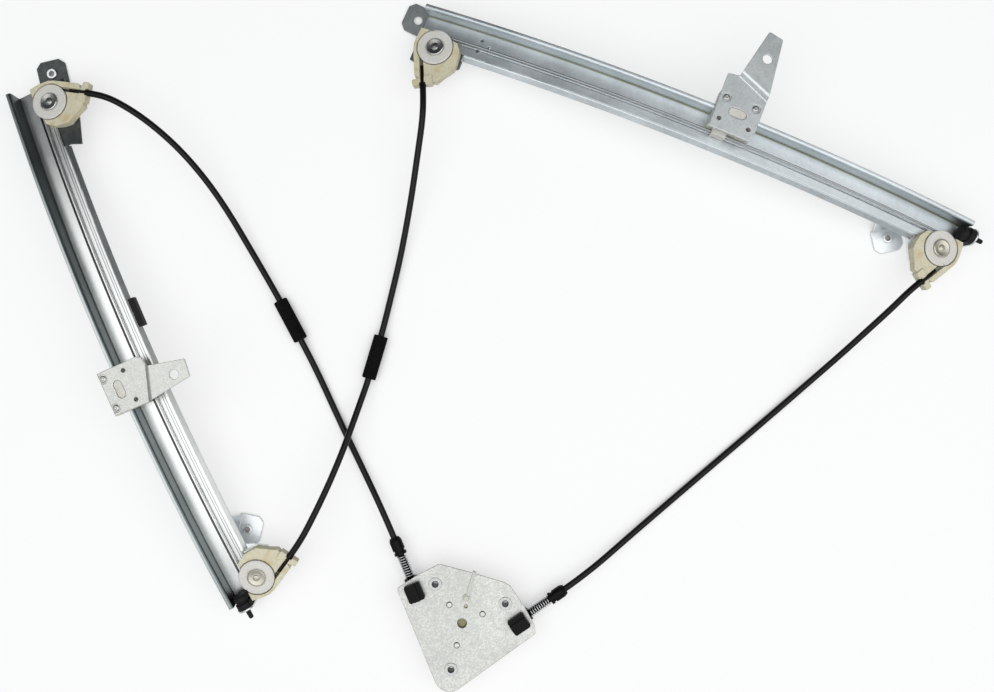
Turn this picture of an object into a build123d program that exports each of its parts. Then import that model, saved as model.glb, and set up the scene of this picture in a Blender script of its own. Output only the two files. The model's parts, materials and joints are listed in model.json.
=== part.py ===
from build123d import *
from math import asin, cos, degrees, pi, radians, sin, sqrt, tan
import os

# Twin-rail cable window regulator, lying on its four bracket feet and its drum housing.
# Millimetres. X runs across both rails, Y points to the rails' upper ends, Z is up.
# Along a rail, "arc" counts from its middle towards its stop end, "v" counts inwards from the
# cable line, and "h" counts up from the top face of the rail floor.

# ---- guide rails ----
rail_radius = 1100.0        # bend of the rail, which follows the glass
sheet = 1.5                 # rail sheet
bend_radius = 1.6           # middle of the sheet
wall_height = 14.0
wall_offset = 15.2          # cable line to the wall's inner face
lip_reach = 4.1             # wall's inner face to the lip's edge
crease_offset = 9.4         # cable line to the flange's crease
flange_reach = 3.8
flange_drop = 3.5
bead_offset = 1.3           # pressed line beside the cable
bead_width = 1.2
bead_depth = 0.5
upper_overhang = 19.0       # upper pulley axis to the rail's end
stop_tongue = 6.5           # rail's lower end to the end of its folded tongue
dimple_radius = 1.5
dimple_depth = 0.5
end_height = 18.0           # rail floor above the ground at the pulleys
pad_length = 25.0           # anti-rattle pad on the left flange
pad_arc = -25.0

# ---- pulleys, their rivets and housings ----
cable_diameter = 1.8
groove_radius = 12.4        # cable's middle in the pulley groove
pulley_radius = 15.3
pulley_thickness = 5.5
floor_thickness = 1.4       # housing floor under the pulley
gap = 0.3                   # general clearance between moving pieces
running_fit = 0.05          # radial, pulley on its rivet and drum on its spindle
press_gap = 0.03            # radial, bush pressed into its foot
rivet_radius = 3.0
rivet_head_radius = 7.5
rivet_head = 1.6
wrap_exit = 30.0            # degrees past the outboard side where the cable leaves the groove
deck_height = 5.6
guard_height = 8.0
end_bar_height = 7.2
conduit_diameter = 5.5
liner_diameter = 3.0
liner_bore = 2.2
liner_start = 15.0          # from the groove's tangent point, along the exit line
conduit_start = 30.5

# ---- brackets and feet ----
bracket_sheet = 2.0
foot_width = 25.0
foot_reach = 12.0           # foot hole to the foot's end
foot_chamfer = 4.5
bush_radius = 4.4
bush_shank = 3.6            # pressed into the foot
bush_bore = 2.5
bush_height = 2.6
bush_chamfer = 0.5
foot_hole = 4.0
upper_web = 8.5             # foot hole to the web's foot
upper_lean = 2.5
lower_web = 7.4
lower_lean = 13.0
web_width = 21.0

# ---- glass carriers ----
slider_half = 19.0
slider_clearance = 0.35
slider_outer = 31.0         # cable line to the slider's outer side
slider_skirt = 7.5          # underside of the outer jaw
slider_inner = 3.2          # cable line to the slider body's inner side
tongue_half = 6.2
tongue_shift = -7.0         # towards the upper end, so that the stop is met first
tongue_inner = 2.8
tongue_height = 8.6
seat_height = 16.2          # carrier plate's underside
plate_sheet = 2.0
joggle = 4.0
joggle_run = 3.2
joggle_bend = 1.9           # radius of both bends, at the middle of the sheet
plate_corner = 1.5
hole_pitch = 26.0
carrier_rivet_v = -27.0
carrier_slot_v = -17.3
carrier_hole_v = -8.0
slot_length = 15.5
plate_reach = 90.0          # blank on each side of the bend
slot_width = 7.5
small_hole = 1.9
carrier_rivet = 2.0
carrier_rivet_head = 2.9
recess_radius = 3.9
recess_depth = 0.9
nipple_radius = 2.0
nipple_length = 5.0

# ---- rubber stops ----
stop_v = -7.6
stop_h = 8.4
stop_radius = 7.0
stop_length = 12.5
stop_neck = 2.4
tab_radius = 7.6

# ---- drum unit ----
drum_x, drum_y = -28.9, -238.1
plate_level = 20.0          # underside of the drum plate
drum_plate_sheet = 2.0
pitch_radius = 27.0         # cable's middle on the drum
lead_level = 12.0           # cable height above the ground in the drum unit
coil_pitch = 2.5
drum_bottom = 3.2
drum_top = 17.2
flange_radius = 29.6
housing_inner = 30.4
housing_outer = 32.8
housing_top_wall = 2.0
housing_lip_radius = 22.0
spindle_radius = 4.0
drive_radius = 9.0
drive_depth = 4.5
boss_circle = 40.5
boss_angles = (24.5, 124.5, 256.5)
boss_radius = 5.0
boss_bore = 2.5
boss_length = 12.0
plate_rivet_circle = 19.2
left_heading = 112.6        # direction in which each cable leaves the drum
right_heading = 34.1
socket_start = 32.5         # from the tangent point, along the cable
socket_length = 15.5
socket_width = 14.3
socket_head = 6.6
collar_start = 48.4
collar_end = 51.4
collar_radius = 5.9
socket_nose = 2.6
spring_length = 21.6
spring_radius = 3.75        # middle of the spring wire
spring_wire = 1.0
spring_turns = 9
ferrule_radius = 5.4
ferrule_length = 15.5
ferrule_bore = 3.0
ferrule_floor = 4.0
sleeve_radius = 6.1
sleeve_bore = 3.4

os.makedirs("parts", exist_ok=True)
cable_radius = cable_diameter / 2
pulley_bottom = floor_thickness + gap
cable_height = pulley_bottom + pulley_thickness / 2
pulley_top = pulley_bottom + pulley_thickness
ferrule_start = collar_end + spring_length
conduit_entry = ferrule_start + ferrule_floor + gap


def keep(part, name):
    """Label a finished piece and write its file."""
    part.label = name
    export_step(part, f"parts/{name}.step")


def axial(plane):
    """Plane through a plane's z axis, for profiles that are revolved about that axis."""
    return Plane(origin=plane.origin, x_dir=plane.x_dir, z_dir=-plane.y_dir)


class Rail:
    """One curved rail, from the plan of its two pulley axes."""

    def __init__(self, name, side, pulley_middle, heading, pulley_span, roll, lower_overhang, carrier_arc):
        self.name, self.side, self.carrier_arc = name, side, carrier_arc
        along = (cos(radians(heading)), sin(radians(heading)), 0)
        level = Plane(origin=(*pulley_middle, end_height), x_dir=along, z_dir=(0, 0, 1))
        up = level.z_dir * cos(radians(roll)) - level.y_dir * sin(radians(roll))
        tilted = Plane(level.origin, level.x_dir, up)
        self.along, self.up, self.inward = tilted.x_dir, tilted.z_dir, tilted.y_dir * side
        self.pulley_arc = rail_radius * asin(pulley_span / 2 / (rail_radius + cable_height))
        sagitta = rail_radius * (1 - cos(self.pulley_arc / rail_radius))
        crown = level.origin + self.up * sagitta - self.inward * groove_radius
        self.centre = crown - self.up * rail_radius
        self.axis = Axis(self.centre, tilted.y_dir)
        self.upper_end = -self.pulley_arc - upper_overhang
        self.lower_end = self.pulley_arc + lower_overhang
        self.tab_end = self.lower_end + stop_tongue

    def station(self, arc, v=0.0, h=0.0):
        """Plane tangent to the rail: x towards the stop end, z away from the bend's centre."""
        angle = arc / rail_radius
        up = self.up * cos(angle) + self.along * sin(angle)
        tangent = self.along * cos(angle) - self.up * sin(angle)
        return Plane(self.centre + up * (rail_radius + h) + self.inward * v, tangent, up)

    def section(self, arc):
        """Plane across the rail: x inwards, y up."""
        at = self.station(arc)
        return Plane(at.origin, self.inward, at.x_dir * self.side)

    def pulley(self, end, h=0.0):
        """Plane at a pulley axis; end is -1 at the upper end and 1 at the lower one."""
        return self.station(end * self.pulley_arc, groove_radius, h)

    def flip(self, points, end=1):
        """Points given outboard and inward, turned to this rail's hand and end."""
        return [(end * x, self.side * y) for x, y in points]

    def under(self, x, y, h):
        """Plane tangent to the rail at depth h under or over a point of the plan."""
        z = end_height
        for _ in range(8):
            reach = Vector(x, y, z) - self.centre
            arc = rail_radius * asin(reach.dot(self.along) / (rail_radius + h))
            at = self.station(arc, reach.dot(self.inward), h)
            z = at.origin.Z
        return at

    def sweep_angle(self, start, stop):
        return degrees((stop - start) / rail_radius)


left = Rail("left", 1, (-291.1, 4.2), -66.46, 440.4, 6.0, 14.8, 30.0)
right = Rail("right", -1, (163.1, 166.5), -21.67, 462.5, -6.5, 17.2, 24.0)

section_line = (
    (-wall_offset - lip_reach, wall_height - sheet / 2),
    (-wall_offset - sheet / 2, wall_height - sheet / 2),
    (-wall_offset - sheet / 2, -sheet / 2),
    (crease_offset, -sheet / 2),
    (crease_offset + flange_reach, -sheet / 2 - flange_drop),
)
# Where the flange is cut away, inboard of each pulley axis.
flange_trims = {("left", -1): 39.5, ("left", 1): 24.0, ("right", -1): 24.0, ("right", 1): 24.0}
dimples = {"left": (), "right": ((34.3, -20.3), (42.4, -16.0), (33.7, -10.3))}
end_names = {-1: "upper", 1: "lower"}


def guide_rail(rail):
    start, stop = rail.upper_end, rail.lower_end
    arc = rail.sweep_angle(start, stop)
    with BuildPart() as guide:
        with BuildSketch(rail.section(start)):
            with BuildLine():
                FilletPolyline(*section_line, radius=bend_radius)
            trace(line_width=sheet)
        revolve(axis=rail.axis, revolution_arc=arc)
        with BuildSketch(rail.section(start)):
            with Locations((bead_offset, 0)):
                Rectangle(bead_width, 2 * bead_depth)
        revolve(axis=rail.axis, revolution_arc=arc, mode=Mode.SUBTRACT)
        for end in end_names:
            trim = flange_trims[(rail.name, end)]
            inner = crease_offset - groove_radius - 0.7
            corners = [(-trim, inner), (upper_overhang + 5, inner), (upper_overhang + 5, 20), (-trim, 20)]
            with BuildSketch(rail.pulley(end, -10)):
                Polygon(*rail.flip(corners, end), align=None)
            extrude(amount=12, mode=Mode.SUBTRACT)
        with BuildSketch(rail.section(stop - 2)):
            with Locations((stop_v, -sheet / 2)):
                Rectangle(2 * tab_radius, sheet)
        revolve(axis=rail.axis, revolution_arc=rail.sweep_angle(0, stop_tongue + 2))
        with BuildSketch(rail.section(rail.tab_end)):
            with Locations((stop_v, (stop_h - sheet) / 2)):
                Rectangle(2 * tab_radius, stop_h + sheet)
            with Locations((stop_v, stop_h)):
                Circle(tab_radius)
                Circle(stop_neck + 0.1, mode=Mode.SUBTRACT)
        extrude(amount=-rail.side * sheet)
        for x, y in dimples[rail.name]:
            with BuildSketch(rail.pulley(-1, -2 - dimple_depth)):
                with Locations(*rail.flip([(x, y)])):
                    Circle(dimple_radius)
            extrude(amount=2, mode=Mode.SUBTRACT)
    return guide.part


seat_outlines = {
    ("left", -1): ((20, -25), (20, 15), (6, 17), (-20, 17), (-42.8, 11.2), (-38.6, 1.5), (-38.8, -4.5),
                   (-52, -4.5), (-52, -25)),
    ("right", -1): ((20, -25), (20, 14), (6, 17), (-12, 17), (-24.4, 9), (-24.4, 1.9), (-23.2, 1.9), (-23.2, -4.5),
                    (-42, -4.5), (-42, -25)),
}
lower_seat = ((13, -23), (16, 8), (4, 17), (-19.9, 19), (-27, 6), (-28.5, 1.9), (-23.2, 1.9), (-23.2, -4.5),
              (-64, -4.5), (-64, -23))
seat_outlines[("left", 1)] = seat_outlines[("right", 1)] = lower_seat


def foot_plane(foot):
    x, y, heading = foot
    return Plane((x, y, 0), (cos(radians(heading)), sin(radians(heading)), 0), (0, 0, 1))


def bracket(rail, end, foot, web, lean, hole):
    """Seat welded under the rail floor, a web down to the ground and a foot with a hole."""
    outline = seat_outlines[(rail.name, end)]
    reach = [end * rail.pulley_arc + end * x for x, _ in outline]
    start, stop = min(reach), max(reach)
    ground = foot_plane(foot)
    top = ground.from_local_coords(Vector(-web - lean, 0, 0))
    seat = rail.under(top.X, top.Y, -sheet - bracket_sheet / 2)
    with BuildPart() as piece:
        with BuildSketch(rail.section(start)):
            with Locations((0, -sheet - bracket_sheet / 2)):
                Rectangle(80, bracket_sheet)
        revolve(axis=rail.axis, revolution_arc=rail.sweep_angle(start, stop))
        with BuildSketch(rail.pulley(end, -12)):
            Polygon(*rail.flip(outline, end), align=None)
        extrude(amount=14, mode=Mode.INTERSECT)
        with BuildSketch(ground):
            c = foot_chamfer
            w = foot_width / 2
            back = -web - bracket_sheet / 2
            Polygon((back, -w), (foot_reach - c, -w), (foot_reach, c - w), (foot_reach, w - c),
                    (foot_reach - c, w), (back, w), align=None)
        extrude(amount=bracket_sheet)
        with BuildSketch(ground):
            with Locations((-web, 0)):
                Rectangle(bracket_sheet, web_width)
        with BuildSketch(Plane(seat.origin, ground.x_dir, seat.z_dir)):
            Rectangle(bracket_sheet, web_width)
        loft(ruled=True)
        with BuildSketch(ground.offset(-1)):
            Circle(hole)
        extrude(amount=bracket_sheet + 2, mode=Mode.SUBTRACT)
        with BuildSketch(rail.pulley(end, -8)):
            Circle(rivet_radius + running_fit)
        extrude(amount=9, mode=Mode.SUBTRACT)
    return piece.part


def threaded_bush(foot):
    """Flanged bush, its shank pressed into the foot and its thread right through."""
    ground = foot_plane(foot)
    head = bracket_sheet + bush_height
    profile = ((bush_bore, 0), (bush_shank, 0), (bush_shank, bracket_sheet), (bush_radius, bracket_sheet),
               (bush_radius, head - bush_chamfer), (bush_radius - bush_chamfer, head), (bush_bore, head))
    with BuildPart() as bush:
        with BuildSketch(axial(ground)):
            Polygon(*profile, align=None)
        revolve(axis=Axis(ground.origin, ground.z_dir))
    return bush.part


# Housing outlines: first number outboard along the rail, second inward, from the pulley axis.
housing_outline = (
    (8.0, -12.6), (17.4, -12.6), (18.2, -2.5), (17.8, 4.4), (15.8, 9.5), (12.6, 15.4), (4.2, 30.0),
    (-14.8, 27.5), (-17.6, 21.5), (-23.6, 11.5), (-23.2, 4.5), (-21.6, -3.0), (-16.8, -9.4),
)
end_bar_start, end_bar_stop = 27.6, 32.6    # cross bar that grips the conduit
end_bar_half = 8.6
pocket_gap = 0.6
# Each housing sits a few degrees round its pulley, to suit its conduit.
exit_turns = {("left", -1): 3.0, ("left", 1): 0.0, ("right", -1): -5.0, ("right", 1): 2.0}


def on_exit(distance, sideways=0.0, turn=0.0):
    """Point of the exit line, or beside it towards the outboard wall."""
    angle = radians(wrap_exit + turn)
    radius = groove_radius + sideways
    return (radius * cos(angle) - distance * sin(angle), radius * sin(angle) + distance * cos(angle))


def turned(points, turn):
    """Outline whose part beyond the pulley axis is turned about it."""
    c, s = cos(radians(turn)), sin(radians(turn))
    return [(x * c - y * s, x * s + y * c) if y > 0 else (x, y) for x, y in points]


def exit_plane(rail, end, distance):
    """Plane across the exit line at cable height, z pointing out of the housing."""
    at = rail.pulley(end, cable_height)
    turn = exit_turns[(rail.name, end)]
    origin = at.from_local_coords(Vector(*rail.flip([on_exit(distance, 0, turn)], end)[0], 0))
    ahead = at.from_local_coords(Vector(*rail.flip([on_exit(distance + 1, 0, turn)], end)[0], 0)) - origin
    return Plane(origin, at.z_dir, ahead)


def pulley_housing(rail, end):
    base = rail.pulley(end)
    bar = [on_exit(distance, sideways) for distance, sideways in (
        (end_bar_start, end_bar_half), (end_bar_stop, end_bar_half),
        (end_bar_stop, -end_bar_half), (end_bar_start - 3, -end_bar_half))]
    raised = [*housing_outline[:7], on_exit(end_bar_start), on_exit(0), (0, 0)]
    turn = exit_turns[(rail.name, end)]
    outline, bar, raised = [turned(points, turn) for points in (housing_outline, bar, raised)]
    edge = crease_offset - groove_radius + gap
    lower_part = [(18.2, edge), *[p for p in outline if p[1] > edge], (-21.4, edge)]
    with BuildPart() as housing:
        with BuildSketch(base) as plan:
            Polygon(*rail.flip(outline, end), align=None)
            Polygon(*rail.flip(bar, end), align=None)
            fillet(plan.vertices(), 0.8)
        extrude(amount=deck_height)
        with BuildSketch(base) as plan:
            Polygon(*rail.flip(bar, end), align=None)
            fillet(plan.vertices(), 0.8)
        extrude(amount=end_bar_height)
        with BuildSketch(base.offset(-sheet)):
            Polygon(*rail.flip(lower_part, end), align=None)
        extrude(amount=sheet)
        with BuildSketch(base):
            Polygon(*rail.flip(raised, end), align=None)
        extrude(amount=guard_height)
        with BuildSketch(base.offset(floor_thickness)):
            Circle(pulley_radius + pocket_gap)
        extrude(amount=guard_height, mode=Mode.SUBTRACT)
        for half_width, first, last in ((liner_diameter / 2 + 0.1, 4, 38), (conduit_diameter / 2 + 0.1, conduit_start, 42)):
            with BuildSketch(exit_plane(rail, end, first)):
                Circle(half_width)
                with Locations((5, 0)):
                    Rectangle(10, 2 * half_width)
            extrude(amount=last - first, mode=Mode.SUBTRACT)
        with BuildSketch(base.offset(-3)):
            Circle(rivet_radius + 0.1)
        extrude(amount=6, mode=Mode.SUBTRACT)
    return housing.part


def pulley(rail, end):
    base = rail.pulley(end)
    half_groove = cable_radius + 0.2
    groove_floor = groove_radius - cable_radius - 0.15
    profile = (
        (rivet_radius + running_fit, pulley_bottom), (pulley_radius - 0.6, pulley_bottom),
        (pulley_radius, pulley_bottom + 0.6), (pulley_radius, cable_height - half_groove - 0.5),
        (groove_floor, cable_height - half_groove), (groove_floor, cable_height + half_groove),
        (pulley_radius, cable_height + half_groove + 0.5), (pulley_radius, pulley_top - 0.5),
        (pulley_radius - 0.5, pulley_top), (rivet_head_radius + 1.0, pulley_top),
        (rivet_head_radius + 0.6, pulley_top - 0.8), (rivet_radius + running_fit, pulley_top - 0.8),
    )
    with BuildPart() as wheel:
        with BuildSketch(axial(base)):
            Polygon(*profile, align=None)
        revolve(axis=Axis(base.origin, base.z_dir))
        with BuildSketch(base.offset(pulley_top - 1.0)):
            with PolarLocations(pulley_radius, 1, start_angle=115 if end < 0 else 300):
                Rectangle(2.4, 1.8)
        extrude(amount=2, mode=Mode.SUBTRACT)
    return wheel.part


def pulley_rivet(rail, end):
    base = rail.pulley(end)
    seat = pulley_top - 0.7
    under = -sheet - bracket_sheet
    profile = (
        (0, under - 1.5), (4.2, under - 1.5), (4.6, under - 1.0), (4.6, under - 0.02), (rivet_radius, under - 0.02),
        (rivet_radius, seat), (rivet_head_radius, seat), (rivet_head_radius, seat + 1.1),
        (rivet_head_radius - 0.7, seat + rivet_head), (3.6, seat + 1.0), (2.8, seat + 1.0),
        (2.2, seat + 1.7), (0, seat + 2.0),
    )
    with BuildPart() as rivet:
        with BuildSketch(axial(base)):
            Polygon(*profile, align=None)
        revolve(axis=Axis(base.origin, base.z_dir))
    return rivet.part


def rail_cable(rail):
    """Running cable: out of one liner, round a pulley, along the rail, round the other pulley."""
    upper = rail.pulley(-1, cable_height)
    lower = rail.pulley(1, cable_height)
    ends = []
    for end, at in ((-1, upper), (1, lower)):
        turn = exit_turns[(rail.name, end)]
        rounding = [on_exit(conduit_start, 0, turn), on_exit(0, 0, turn), on_exit(0, 0, -60), (0, -groove_radius)]
        ends += [at.from_local_coords(Vector(*p, 0)) for p in rail.flip(rounding, end)]
    a, b, c, d, h, g, f, e = ends
    crown = rail.station(0, 0, cable_height).origin
    with BuildPart() as cable:
        with BuildLine() as path:
            Line(a, b)
            ThreePointArc(b, c, d)
            ThreePointArc(d, crown, e)
            ThreePointArc(e, f, g)
            Line(g, h)
        with BuildSketch(Plane(a, z_dir=b - a)):
            Circle(cable_radius)
        sweep(path=path.wires()[0])
    return cable.part


def liner(rail, end):
    with BuildPart() as tube:
        with BuildSketch(exit_plane(rail, end, liner_start)):
            Circle(liner_diameter / 2)
            Circle(liner_bore / 2, mode=Mode.SUBTRACT)
        extrude(amount=conduit_start - liner_start)
    return tube.part


def rubber_stop(rail):
    """Stop pulled through the rail's end tab; z of its plane points out of the rail's end."""
    across = rail.section(rail.tab_end)
    at = Plane(across.from_local_coords(Vector(stop_v, stop_h, 0)), across.x_dir, rail.station(rail.tab_end).x_dir)
    r, n = stop_radius, stop_neck
    profile = (
        (0, -sheet - stop_length), (r - 1.5, -sheet - stop_length), (r - 0.3, 1.2 - sheet - stop_length),
        (r - 0.3, -sheet - 7.6), (r - 1.4, -sheet - 6.6), (r - 1.4, -sheet - 5.6), (r, -sheet - 4.8),
        (r, -sheet), (n, -sheet), (n, 0), (n + 1.3, 0.0), (n + 0.9, 1.6), (n - 0.2, 2.4), (n - 0.4, 9.0),
        (n - 0.9, 9.6), (0, 9.6),
    )
    with BuildPart() as stop:
        with BuildSketch(axial(at)):
            Polygon(*profile, align=None)
        revolve(axis=Axis(at.origin, at.z_dir))
    return stop.part


plate_outlines = {
    "left": ((-18.9, -29.8), (-18.9, 6.5), (-16.6, 10.3), (-8.8, 11.5), (-1.0, 45.0), (14.1, 43.1),
             (19.4, 2.0), (18.4, -29.8)),
    "right": ((-19.0, 0.8), (-19.0, -46.5), (-9.3, -48.0), (0.3, -91.0), (13.2, -88.6), (19.2, -36.4),
              (19.2, -1.2), (17.0, 0.8)),
}
bend_lines = {"left": ((-8.8, 11.5), (19.4, 2.0)), "right": ((19.2, -36.4), (-9.3, -48.0))}
arm_holes = {"left": (7.4, 31.7), "right": (6.6, -68.4)}
arm_hole_radius = 4.1


def carrier_plate(rail):
    """Pressed sheet: a flat seat with slot and holes, a joggle and a tapered glass arm."""
    at = rail.station(rail.carrier_arc, 0, seat_height)
    bend = [Vector(*p, plate_sheet / 2) for p in rail.flip(bend_lines[rail.name])]
    start, stop = [at.from_local_coords(p) for p in bend]
    across = at.z_dir.cross(stop - start).normalized() * rail.side
    with BuildPart() as plate:
        with BuildSketch(Plane(start, across, across.cross(at.z_dir))):
            with BuildLine():
                FilletPolyline((-plate_reach, 0), (0, 0), (joggle_run, joggle), (plate_reach, joggle),
                               radius=joggle_bend)
            trace(line_width=plate_sheet)
        extrude(amount=plate_reach, both=True)
        with BuildSketch(at.offset(-plate_sheet)) as plan:
            Polygon(*rail.flip(plate_outlines[rail.name]), align=None)
            fillet(plan.vertices(), plate_corner)
        extrude(amount=joggle + 3 * plate_sheet, mode=Mode.INTERSECT)
        with BuildSketch(at.offset(-1)):
            with Locations(*rail.flip([(0, carrier_slot_v)])):
                SlotOverall(slot_length, slot_width)
            with Locations(*rail.flip([(x, carrier_hole_v) for x in (-hole_pitch / 2, hole_pitch / 2)])):
                Circle(small_hole)
            with Locations(*rail.flip([(x, carrier_rivet_v) for x in (-hole_pitch / 2, hole_pitch / 2)])):
                Circle(carrier_rivet + 0.1)
            with Locations(*rail.flip([arm_holes[rail.name]])):
                Circle(arm_hole_radius)
        extrude(amount=joggle + plate_sheet + 2, mode=Mode.SUBTRACT)
        with BuildSketch(at.offset(plate_sheet - recess_depth)):
            with Locations(*rail.flip([(x, carrier_rivet_v) for x in (-hole_pitch / 2, hole_pitch / 2)])):
                Circle(recess_radius)
        extrude(amount=2, mode=Mode.SUBTRACT)
    return plate.part


def slider(rail):
    """Nylon jaw round the rail's lip, with a tongue over the cable that holds its nipples."""
    c = slider_clearance
    jaw = (
        (-slider_outer, seat_height), (-slider_inner, seat_height), (-slider_inner, c + 0.15),
        (-wall_offset + c, c + 0.15), (-wall_offset + c, wall_height + c),
        (-wall_offset - lip_reach - c, wall_height + c),
        (-wall_offset - lip_reach - c, wall_height - sheet - c),
        (-wall_offset - sheet - c, wall_height - sheet - c), (-wall_offset - sheet - c, slider_skirt),
        (-slider_outer, slider_skirt),
    )
    middle = rail.carrier_arc
    at = rail.station(middle)
    with BuildPart() as body:
        with BuildSketch(rail.section(middle - slider_half)):
            Polygon(*jaw, align=None)
        revolve(axis=rail.axis, revolution_arc=rail.sweep_angle(0, 2 * slider_half))
        with BuildSketch(rail.section(middle + tongue_shift - tongue_half)):
            with Locations(((tongue_inner - slider_inner - 1) / 2, (tongue_height + c + 0.15) / 2)):
                Rectangle(tongue_inner + slider_inner + 1, tongue_height - c - 0.15)
        revolve(axis=rail.axis, revolution_arc=rail.sweep_angle(0, 2 * tongue_half))
        with BuildSketch(rail.section(middle + tongue_shift - tongue_half - 1)):
            with Locations((0, (cable_height + cable_radius + c) / 2)):
                Rectangle(2 * (cable_radius + c), cable_height + cable_radius + c)
        revolve(axis=rail.axis, revolution_arc=rail.sweep_angle(0, 2 * tongue_half + 2), mode=Mode.SUBTRACT)
        with BuildSketch(rail.station(middle + tongue_shift, 0, cable_height + nipple_radius + 0.1)):
            Rectangle(2 * (nipple_length + 0.4), 2 * nipple_radius + 0.2)
        extrude(amount=-cable_height - nipple_radius, mode=Mode.SUBTRACT)
        with BuildSketch(at.offset(seat_height - 1)):
            with Locations(*rail.flip([(0, carrier_slot_v)])):
                SlotOverall(slot_length - 0.5, slot_width - 0.5)
        extrude(amount=1 + plate_sheet - 0.4)
        with BuildSketch(at.offset(seat_height - 7)):
            with Locations(*rail.flip([(x, carrier_hole_v) for x in (-hole_pitch / 2, hole_pitch / 2)])):
                Circle(small_hole)
            with Locations(*rail.flip([(x, carrier_rivet_v) for x in (-hole_pitch / 2, hole_pitch / 2)])):
                Circle(carrier_rivet + 0.1)
        extrude(amount=8, mode=Mode.SUBTRACT)
        for x in (-10.0, 10.0):
            with BuildSketch(at.offset(c)):
                with Locations(*rail.flip([(x, (-wall_offset + c - slider_inner) / 2)])):
                    Rectangle(14.0, wall_offset - c - slider_inner - 3.4)
            extrude(amount=8.5, mode=Mode.SUBTRACT)
    return body.part


def carrier_rivets(rail):
    seat = seat_height + plate_sheet - recess_depth
    shank = seat_height - 6.8
    r, head = carrier_rivet, carrier_rivet_head
    profile = ((0, shank), (r, shank), (r, seat), (head, seat), (head, seat + 0.4), (head - 0.8, seat + 1.1),
               (1.2, seat + 1.3), (0.8, seat + 0.9), (0, seat + 0.9))
    solids = []
    for x in (-hole_pitch / 2, hole_pitch / 2):
        at = rail.station(rail.carrier_arc)
        spot = Plane(at.from_local_coords(Vector(*rail.flip([(x, carrier_rivet_v)])[0], 0)), at.x_dir, at.z_dir)
        with BuildPart() as rivet:
            with BuildSketch(axial(spot)):
                Polygon(*profile, align=None)
            revolve(axis=Axis(spot.origin, spot.z_dir))
        solids.append(rivet.part.solid())
    return Part(children=solids)


def nipples(rail):
    solids = []
    for shift in (-nipple_length, 0.3):
        start = rail.carrier_arc + tongue_shift + shift
        with BuildPart() as nipple:
            with BuildSketch(rail.section(start)):
                with Locations((0, cable_height)):
                    Circle(nipple_radius)
                    Circle(cable_radius + 0.3, mode=Mode.SUBTRACT)
            revolve(axis=rail.axis, revolution_arc=rail.sweep_angle(0, nipple_length - 0.3))
        solids.append(nipple.part.solid())
    return Part(children=solids)


def anti_rattle_pad(rail):
    start = pad_arc - pad_length / 2
    edge = crease_offset + flange_reach
    with BuildPart() as pad:
        with BuildSketch(rail.section(start)):
            with Locations((edge + 0.9, -sheet / 2 - flange_drop)):
                Rectangle(5.4, 5.6)
            with BuildLine():
                Polyline(section_line[3], section_line[4])
            trace(line_width=sheet + 0.2, mode=Mode.SUBTRACT)
        revolve(axis=rail.axis, revolution_arc=rail.sweep_angle(0, pad_length))
    return pad.part


feet = {
    ("left", -1): (-386.1, 235.0, 103.3),
    ("left", 1): (-216.1, -161.0, -12.0),
    ("right", -1): (-67.9, 282.0, 155.2),
    ("right", 1): (340.5, 92.2, -76.2),
}
plain_feet = (("right", -1),)       # this foot has a plain hole, the others a threaded bush

for rail in (left, right):
    keep(guide_rail(rail), f"{rail.name}_rail")
    bushes = []
    for end, place in end_names.items():
        foot = feet[(rail.name, end)]
        web, lean = (upper_web, upper_lean) if end < 0 else (lower_web, lower_lean)
        plain = (rail.name, end) in plain_feet
        hole = foot_hole if plain else bush_shank + press_gap
        keep(bracket(rail, end, foot, web, lean, hole), f"{rail.name}_{place}_bracket")
        if not plain:
            bushes.append(threaded_bush(foot).solid())
        keep(pulley_housing(rail, end), f"{rail.name}_{place}_pulley_housing")
        keep(pulley(rail, end), f"{rail.name}_{place}_pulley")
        keep(pulley_rivet(rail, end), f"{rail.name}_{place}_pulley_rivet")
    keep(Part(children=bushes), f"{rail.name}_threaded_bushes")
    keep(Part(children=[liner(rail, end).solid() for end in end_names]), f"{rail.name}_cable_liners")
    keep(rail_cable(rail), f"{rail.name}_rail_cable")
    keep(rubber_stop(rail), f"{rail.name}_rubber_stop")
    keep(carrier_plate(rail), f"{rail.name}_carrier_plate")
    keep(slider(rail), f"{rail.name}_slider")
    keep(carrier_rivets(rail), f"{rail.name}_carrier_rivets")
    keep(nipples(rail), f"{rail.name}_cable_nipples")
keep(anti_rattle_pad(left), "left_anti_rattle_pad")

# ---- drum unit ----
hub = Plane((drum_x, drum_y, 0))
plate_top = plate_level + drum_plate_sheet
plate_corners = (
    (-19.6, 50.7), (-39.7, 40.2), (-55.8, 29.6), (-16.5, -65.9), (62.8, -8.8), (61.8, -1.6), (54.0, 12.7),
    (41.2, 31.8), (35.7, 35.0), (10.7, 42.4),
)
corner_radii = (6, 8, 2.5, 13.6, 2.5, 3, 10, 3, 6, 20)
tie_foot = (3.4, 19.0)
tie_edge = (10.4, 43.0)


def outlet(winding, heading):
    """Plane on the ground at a cable's tangent point, x along the cable as it leaves the drum."""
    turned = Plane(hub.origin, (cos(radians(heading)), sin(radians(heading)), 0), (0, 0, 1))
    return Plane(turned.from_local_coords(Vector(0, winding * pitch_radius, 0)), turned.x_dir, (0, 0, 1))


outlets = {"left": outlet(1, left_heading), "right": outlet(-1, right_heading)}


def along_outlet(ground, start):
    """Plane across the cable at a distance from the tangent point, z along the cable."""
    return Plane(ground.from_local_coords(Vector(start, 0, lead_level)), (0, 0, 1), ground.x_dir)


neck_length, neck_width = socket_length - 4, 8.6

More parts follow.
